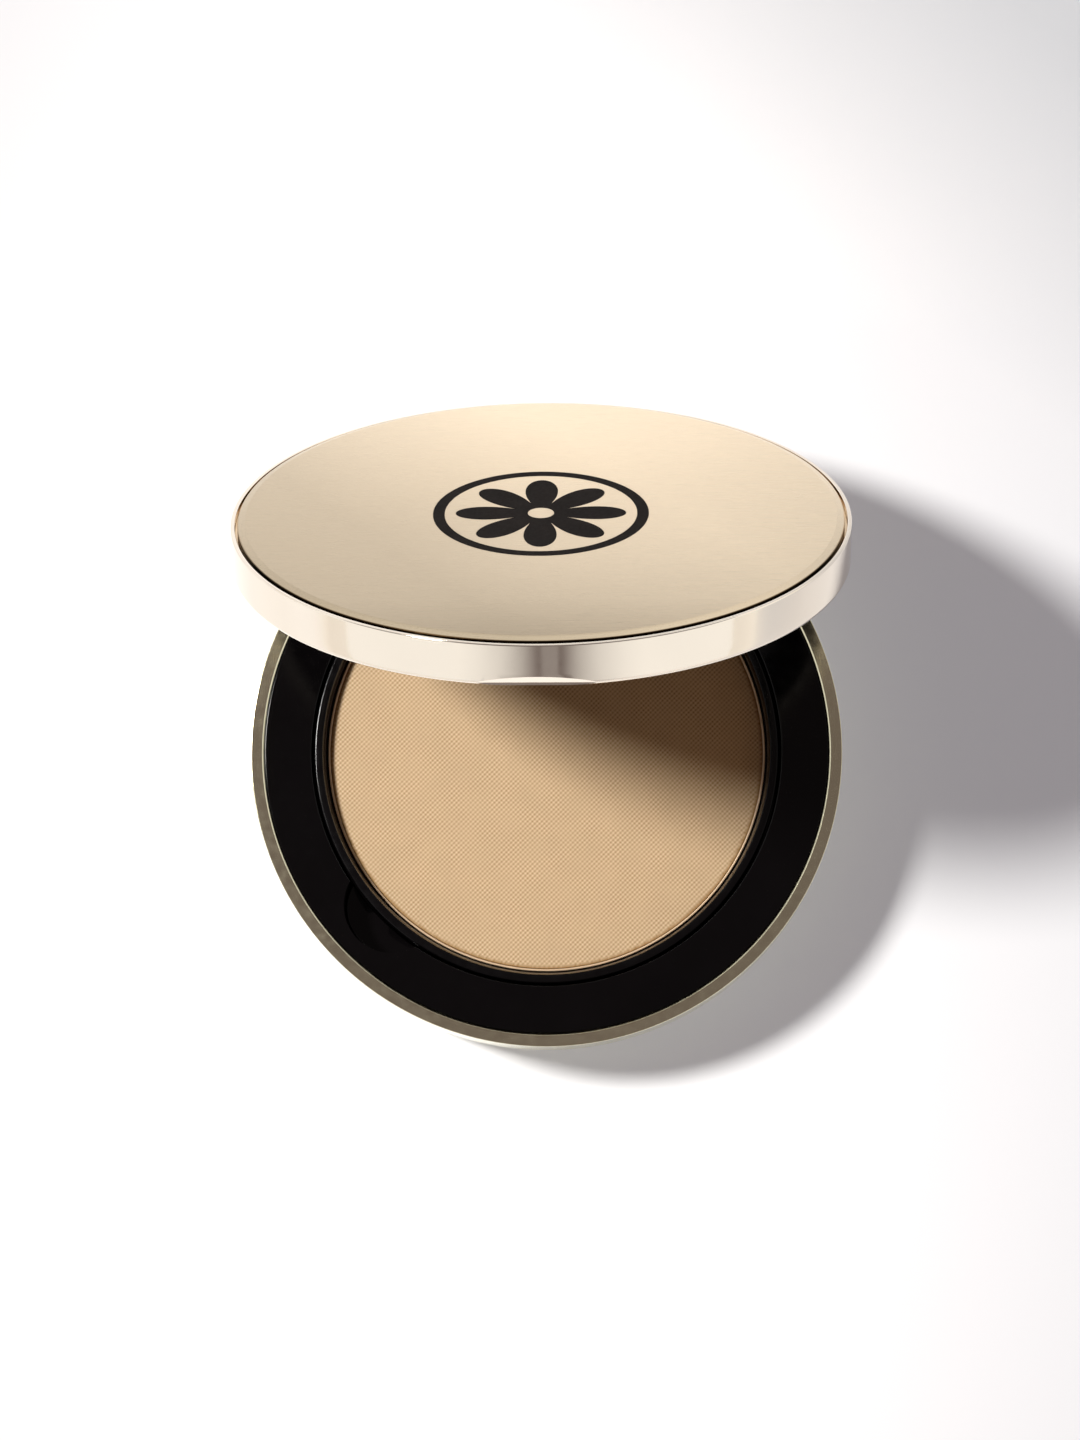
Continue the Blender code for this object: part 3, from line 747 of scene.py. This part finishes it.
def pressed_powder():
    """The cake. Its top is a square lattice of raised grains, as the pressing cloth leaves it."""
    radius, low, top = widest(CAKE), CAKE[0].z, CAKE[1].z
    pitch = 0.64 * MM
    step = pitch / 4
    edge_fall, edge_w = 0.05 * MM, 0.6 * MM
    half = int(math.ceil(radius / step)) + 1
    index = np.arange(-half, half + 1)
    gx, gy = np.meshgrid(index * step, index * step, indexing="ij")
    inside = gx**2 + gy**2 <= (radius - step * 0.5) ** 2
    cell = inside[:-1, :-1] & inside[1:, :-1] & inside[1:, 1:] & inside[:-1, 1:]
    ci, cj = np.nonzero(cell)
    size = len(index)
    quads = np.stack(
        [ci * size + cj, (ci + 1) * size + cj, (ci + 1) * size + cj + 1, ci * size + cj + 1], axis=1
    )
    used, flat = np.unique(quads, return_inverse=True)
    quads = flat.reshape(quads.shape)
    x, y = gx.ravel()[used], gy.ravel()[used]
    sides = np.concatenate([quads[:, [k, (k + 1) % 4]] for k in range(4)])
    key = np.sort(sides, axis=1)
    _, first, count = np.unique(key, axis=0, return_index=True, return_counts=True)
    border = np.unique(sides[first[count == 1]])
    reach = np.hypot(x, y)
    scale = np.ones_like(reach)
    scale[border] = radius / reach[border]
    x, y = x * scale, y * scale
    reach = np.hypot(x, y)
    weave = np.cos(2 * np.pi * x / pitch) * np.cos(2 * np.pi * y / pitch)
    slow = np.sin(x * 900.0 + np.sin(y * 700.0)) * np.sin(y * 800.0 + np.sin(x * 500.0))
    fade = np.clip((radius - reach) / edge_w, 0.0, 1.0)
    z = top - RELIEF + weave * RELIEF * (0.8 + 0.2 * slow) * fade
    z -= edge_fall * (1.0 - fade) ** 2
    rim = border[np.argsort(np.arctan2(y[border], x[border]))]
    verts = list(zip(x.tolist(), y.tolist(), z.tolist()))
    start = len(verts)
    verts += [(x[i], y[i], low) for i in rim]
    faces = [tuple(q) for q in quads.tolist()]
    total = len(rim)
    for i in range(total):
        j = (i + 1) % total
        faces.append((int(rim[i]), start + i, start + j, int(rim[j])))
    faces.append(tuple(range(start, start + total)))
    cake = object_from("pressed_powder_finish", verts, faces, 50.0)
    return finish_piece(cake, "refill", POWDER, "powder", "pressed_powder")


# ---------------------------------------------------------------- the lid


def lid_shell():
    """The polished wall: rounded under edge, crisp top edge round the groove, thumb notch in front."""
    low, high = LID[0].z, LID[1].z
    radius = widest(LID)
    panel_z = GLASS[1].z + 0.3 * MM
    above_notch = low + 1.8 * MM
    corners = [
        (0.0, panel_z),
        (SHELL_BORE, panel_z, 0.3 * MM),
        (SHELL_BORE, low + 0.3 * MM, 0.2 * MM),
        (SHELL_BORE + 0.35 * MM, low, 0.15 * MM),
        (radius, low, 0.85 * MM),
        (radius, above_notch),
        (radius, high, 0.16 * MM),
        (SEAT_R, high, 0.08 * MM),
        (SEAT_R, SEAT_Z, 0.05 * MM),
        (0.0, SEAT_Z),
    ]
    shell = lathe("lid_shell_finish", fillet(corners, closed=False), LID_ROUND)
    shape_with(shell, notch_tool(low, radius), "DIFFERENCE")
    ease_edges(shell, 0.06 * MM, 2, 25.0)
    return finish_piece(shell, "lid", LID_GOLD, "gold_lid", "lid_shell")


def notch_tool(low, radius):
    """A wedge with a flat back, a sloping roof and slanting ends, which cuts the thumb notch."""
    half, slant, depth = 8.9 * MM, 0.52, 0.8 * MM
    bottom, roof_low, roof_meets_wall = low - MM, low + 0.35 * MM, low + 1.45 * MM
    beyond = 3 * MM
    back = radius - depth
    roof_high = roof_low + (roof_meets_wall - roof_low) * (depth + beyond) / depth
    section = [(back, bottom), (back, roof_low), (radius + beyond, roof_high), (radius + beyond, bottom)]
    verts = []
    for side in (-1.0, 1.0):
        for reach, z in section:
            verts.append((side * (half - slant * (z - bottom)), -reach, z))
    faces = [(0, 1, 2, 3), (4, 5, 6, 7)]
    faces += [(i, (i + 1) % 4, 4 + (i + 1) % 4, 4 + i) for i in range(4)]
    return object_from("notch", verts, faces)


def petal_outline(grow):
    """The rosette's edge: eight rounded petals on a small hub."""
    petals = 8
    count = petals * 40
    fullness = 0.7  # under 1 rounds the petals out
    tip, root = ROSETTE[1].x, 3.4 * MM
    points = []
    for i in range(count):
        angle = 2 * math.pi * i / count
        swell = abs(math.cos(angle * petals / 2)) ** fullness
        radius = root + (tip - root) * swell + grow
        points.append((radius * math.cos(angle), radius * math.sin(angle)))
    return points


def lid_top():
    """The satin plate with its bevelled edge, and the black inlays sunk in it."""
    radius, low, high = widest(PLATE), PLATE[0].z, PLATE[1].z
    ring_r = widest(RING)
    stroke = 1.45 * MM
    eye = 1.7 * MM
    count = 320
    play = 0.03 * MM
    corners = [
        (0.0, low),
        (radius, low, 0.1 * MM),
        (radius, high - CROWN - ROLL_H, 0.12 * MM),
        (radius - ROLL_W, high - CROWN, 0.15 * MM),
        (ring_r + 4 * MM, high),
        (0.0, high),
    ]
    plate = lathe("lid_top_plate_finish", fillet(corners, closed=False), LID_ROUND)
    floor_z = RING[0].z - 0.03 * MM
    top = high + MM
    ring_recess = prism(
        "ring_recess", circle(ring_r + play, count), floor_z, top, circle(ring_r - stroke - play, count)
    )
    shape_with(plate, ring_recess, "DIFFERENCE")
    petal_recess = prism("petal_recess", petal_outline(play), floor_z, top, circle(eye - play, count))
    shape_with(plate, petal_recess, "DIFFERENCE")
    plate.data.shade_smooth()
    plate.data.set_sharp_from_angle(angle=math.radians(35))
    finish_piece(plate, "lid", SATIN, "satin_plate", "lid_top_plate")

    inlay_top = high + 0.02 * MM
    crown = 0.03 * MM
    outer, inner = circle(ring_r, count), circle(ring_r - stroke, count)
    ring = prism("emblem_ring_finish", outer, RING[0].z, inlay_top, inner, crown)
    finish_piece(ring, "lid", ENAMEL, "enamel", "emblem_ring")
    outer, inner = petal_outline(0.0), circle(eye, count)
    rosette = prism("emblem_rosette_finish", outer, RING[0].z, inlay_top, inner, crown)
    finish_piece(rosette, "lid", ENAMEL, "enamel", "emblem_rosette")


def mirror_and_frame():
    """The bevelled mirror and the gloss ring round it, which carries the lid's knuckle."""
    radius, low, high = widest(TRIM), LID[0].z + 0.2 * MM, TRIM[1].z
    inner = widest(GLASS) + 0.12 * MM
    wall = 1.0 * MM
    corners = [
        (inner, low, 0.35 * MM),
        (radius, low, 0.25 * MM),
        (radius, high, 0.1 * MM),
        (radius - wall, high, 0.1 * MM),
        (radius - wall, low + 1.1 * MM, 0.1 * MM),
        (inner + wall, low + 1.1 * MM, 0.1 * MM),
        (inner + wall, high, 0.1 * MM),
        (inner, high, 0.1 * MM),
    ]
    trim = lathe("mirror_frame_finish", fillet(corners, closed=True))
    front = HINGE.y - KNUCKLE_R + 0.25 * MM
    shape_with(trim, hinge_round("knuckle", KNUCKLE_R, -KNUCKLE_HALF, KNUCKLE_HALF), "UNION")
    arm_high = (KNUCKLE_HALF, HINGE.y + 0.6 * MM, LID[0].z - 0.25 * MM)
    shape_with(trim, box_tool("arm", (-KNUCKLE_HALF, front, HINGE.z), arm_high), "UNION")
    root_high = (KNUCKLE_HALF, radius - 0.6 * MM, low + 0.8 * MM)
    shape_with(trim, box_tool("root", (-KNUCKLE_HALF, front, LID[0].z - MM), root_high), "UNION")
    bore = hinge_round("bore", 1.12 * MM, -KNUCKLE_HALF - MM, KNUCKLE_HALF + MM)
    shape_with(trim, bore, "DIFFERENCE")
    ease_edges(trim, 0.15 * MM)
    finish_piece(trim, "lid", FRAME_BLACK, "black_frame", "mirror_frame")

    corners = [
        (0.0, GLASS[0].z),
        (widest(GLASS) - 0.5 * MM, GLASS[0].z, 0.05 * MM),
        (widest(GLASS), GLASS[0].z + 0.25 * MM, 0.05 * MM),
        (widest(GLASS), GLASS[1].z, 0.05 * MM),
        (0.0, GLASS[1].z),
    ]
    mirror = lathe("mirror_finish", fillet(corners, closed=False))
    mirror.visible_diffuse = False
    finish_piece(mirror, "lid", MIRROR, "mirror_glass", "mirror")


def hidden_nodes():
    """CAD nodes whose shape is already right and that hardly show keep their mesh and get a finish."""
    finishes = {
        "weight_plate": STEEL,
        "hinge_bush": STEEL,
        "weight_adhesive": TAPE,
        "pan_adhesive": TAPE,
        "top_plate_adhesive": TAPE,
        "mirror_adhesive": FOAM,
        "base_magnet_left": NICKEL,
        "base_magnet_right": NICKEL,
        "lid_magnet_left": NICKEL,
        "lid_magnet_right": NICKEL,
    }
    for name, material in finishes.items():
        mesh = frame["nodes"][name].data
        mesh.materials.clear()
        mesh.materials.append(material)


# ---------------------------------------------------------------- studio

GAP_TURN = math.radians(4.0)  # direction of the surround's dark gap, from straight in front
GAP_SPAN = math.radians(40)
GAP_LEVELS = (  # how bright the surround is, at parts of GAP_SPAN from the gap's middle
    (0.0, 0.15),
    (0.07, 0.15),
    (0.10, 0.0),
    (0.14, 0.07),
    (0.27, 0.37),
    (0.47, 0.70),
    (0.68, 0.90),
    (0.85, 1.0),
)
WALL_LEVEL = 0.24  # how bright the room's side and back walls are above the band
DIM_TONE = (0.170, 0.140, 0.136, 1.0)  # the ceiling, and the gap at its darkest
BRIGHT_TONE = (1.0, 0.985, 0.98, 1.0)
FILL_TONE = (0.50, 0.36, 0.25, 1.0)  # share of the surround that matt surfaces get
BAND_TOPS = (0.56, 0.36)  # sine of the surround's upper edge: in front, and at the sides and back


# Painted shade: the floor darkens towards three sides, as the key light's pool falls off.
FLOOR_PAINTED_SHADE = (  # a direction across the floor, where the fade begins and ends, and the tone beyond
    ((0.6, 0.8, 0.0), 0.08, 0.125, (0.74, 0.75, 0.75)),
    ((1.0, 0.0, 0.0), 0.02, 0.075, (0.91, 0.915, 0.92)),
    ((-1.0, 0.0, 0.0), 0.03, 0.09, (0.76, 0.76, 0.755)),
)


def studio_floor():
    """A pale floor with painted shade that dims it softly towards three sides, and a faint glow of painted
    light that lifts its shadows, more so far away.
    """
    half = 3.0
    drop = 0.00005
    verts = [(-half, -half, 0.0), (half, -half, 0.0), (half, half, 0.0), (-half, half, 0.0)]
    floor = object_from("studio_floor", verts, [(0, 1, 2, 3)])
    floor.location.z = -drop
    recipe = Recipe("studio_white", (0.86, 0.86, 0.865), 0.6)
    recipe.tint(0.01, 3.0)
    for direction, begins, ends, tone in FLOOR_PAINTED_SHADE:
        recipe.deepen(recipe.remap(recipe.along(direction), 0.0, 1.0, begins, ends), tone)
    recipe.set("Specular IOR Level", 0.2)
    # Painted light: the floor glows, bluish near the compact where it lifts the shadows, warm and stronger
    # far away.
    far = recipe.remap(recipe.reach(), 0.0, 1.0, 0.16, 0.5)
    near_glow, far_glow = (0.69, 0.80, 1.0), (1.0, 0.98, 0.94)
    recipe.link(recipe.mix(far, near_glow, far_glow), "Emission Color")
    recipe.link(recipe.remap(far, 0.20, 0.70, 0.0, 1.0), "Emission Strength")
    floor.data.materials.append(recipe.material)


def studio_world():
    """A dim ceiling over a bright low surround with a dark gap in front, which polished metal mirrors."""
    world = bpy.data.worlds.new("studio")
    world.use_nodes = True
    tree = world.node_tree

    def made(kind, *inputs, **values):
        node = tree.nodes.new(kind)
        for key, value in values.items():
            setattr(node, key, value)
        for socket, value in zip(node.inputs, inputs):
            if hasattr(value, "is_linked"):
                tree.links.new(value, socket)
            else:
                socket.default_value = value
        return node.outputs[0]

    coords = tree.nodes.new("ShaderNodeTexCoord")
    split = tree.nodes.new("ShaderNodeSeparateXYZ")
    tree.links.new(coords.outputs["Generated"], split.inputs["Vector"])
    x, y, z = split.outputs
    front = made("ShaderNodeMath", y, -1.0, operation="MULTIPLY")
    turn = made("ShaderNodeMath", x, front, operation="ARCTAN2")
    turn = made("ShaderNodeMath", turn, GAP_TURN, operation="SUBTRACT")
    turn = made("ShaderNodeMath", turn, operation="ABSOLUTE")
    limit = made("ShaderNodeMapRange", turn, math.radians(25), math.radians(60), *BAND_TOPS)
    edge = made("ShaderNodeMath", z, limit, operation="SUBTRACT")
    band = made("ShaderNodeMapRange", edge, 0.0, 0.06, 1.0, 0.0)
    ramp = tree.nodes.new("ShaderNodeValToRGB")
    part = made("ShaderNodeMath", turn, GAP_SPAN, operation="DIVIDE")
    tree.links.new(part, ramp.inputs["Fac"])
    stops = ramp.color_ramp.elements
    for place, _ in GAP_LEVELS[1:-1]:
        stops.new(place)
    for stop, (place, level) in zip(stops, GAP_LEVELS):
        stop.position = place
        stop.color = (level, level, level, 1.0)
    bright = made("ShaderNodeMath", band, ramp.outputs["Color"], operation="MULTIPLY")
    walls = made("ShaderNodeMapRange", turn, math.radians(55), math.radians(80), 0.0, WALL_LEVEL)
    below = made("ShaderNodeMapRange", z, 0.86, 0.94, 1.0, 0.0)
    glow = made("ShaderNodeMath", walls, below, operation="MULTIPLY")
    bright = made("ShaderNodeMath", bright, glow, operation="MAXIMUM")
    amount, first, second, seen = colour_mix(tree)
    tree.links.new(bright, amount)
    first.default_value = DIM_TONE
    second.default_value = BRIGHT_TONE
    rays = tree.nodes.new("ShaderNodeLightPath")
    amount, first, second, shade = colour_mix(tree, "MULTIPLY")
    tree.links.new(rays.outputs["Is Diffuse Ray"], amount)
    tree.links.new(seen, first)
    second.default_value = FILL_TONE
    tree.links.new(shade, tree.nodes["Background"].inputs["Color"])
    bpy.context.scene.world = world


def key_light():
    """A small soft light, high up to the left and slightly behind."""
    direction = Vector((-0.68, 0.185, 1.0)).normalized()
    lamp = bpy.data.lights.new("key", "AREA")
    lamp.shape = "DISK"
    lamp.size = 0.145
    lamp.spread = math.radians(72.0)
    lamp.energy = 1.37
    lamp.color = (1.0, 0.985, 0.96)
    key = bpy.data.objects.new("key", lamp)
    bpy.context.scene.collection.objects.link(key)
    key.location = direction * 0.84 + Vector((0.0, 0.0, 0.02))
    aim = Vector((-0.025, -0.045, 0.0))
    key.rotation_euler = (key.location - aim).to_track_quat("Z", "Y").to_euler()


def camera():
    """Almost overhead, from the front, on a long lens."""
    azimuth = math.radians(9.36)
    elevation = math.radians(83.24)
    roll = math.radians(-9.5)
    distance = 0.6605
    aside = Vector((0.000825, -0.0041, -distance))
    data = bpy.data.cameras.new("camera")
    data.sensor_width = 36.0
    data.lens = 122.9
    obj = bpy.data.objects.new("camera", data)
    bpy.context.scene.collection.objects.link(obj)
    look = Matrix.Rotation(azimuth, 4, "Z") @ Matrix.Rotation(math.pi / 2 - elevation, 4, "X")
    look = look @ Matrix.Rotation(roll, 4, "Z")
    target = Vector((0.0, 0.0, RIM_Z))
    obj.matrix_world = Matrix.Translation(target - look.to_3x3() @ aside) @ look
    bpy.context.scene.camera = obj


base_shell()
base_tray()
base_label()
hinge_pin()
refill_cup()
powder_pan()
pressed_powder()
lid_shell()
lid_top()
mirror_and_frame()
hidden_nodes()
studio_floor()
studio_world()
key_light()
camera()
bpy.context.scene.view_settings.view_transform = "Standard"

bpy.context.view_layer.update()
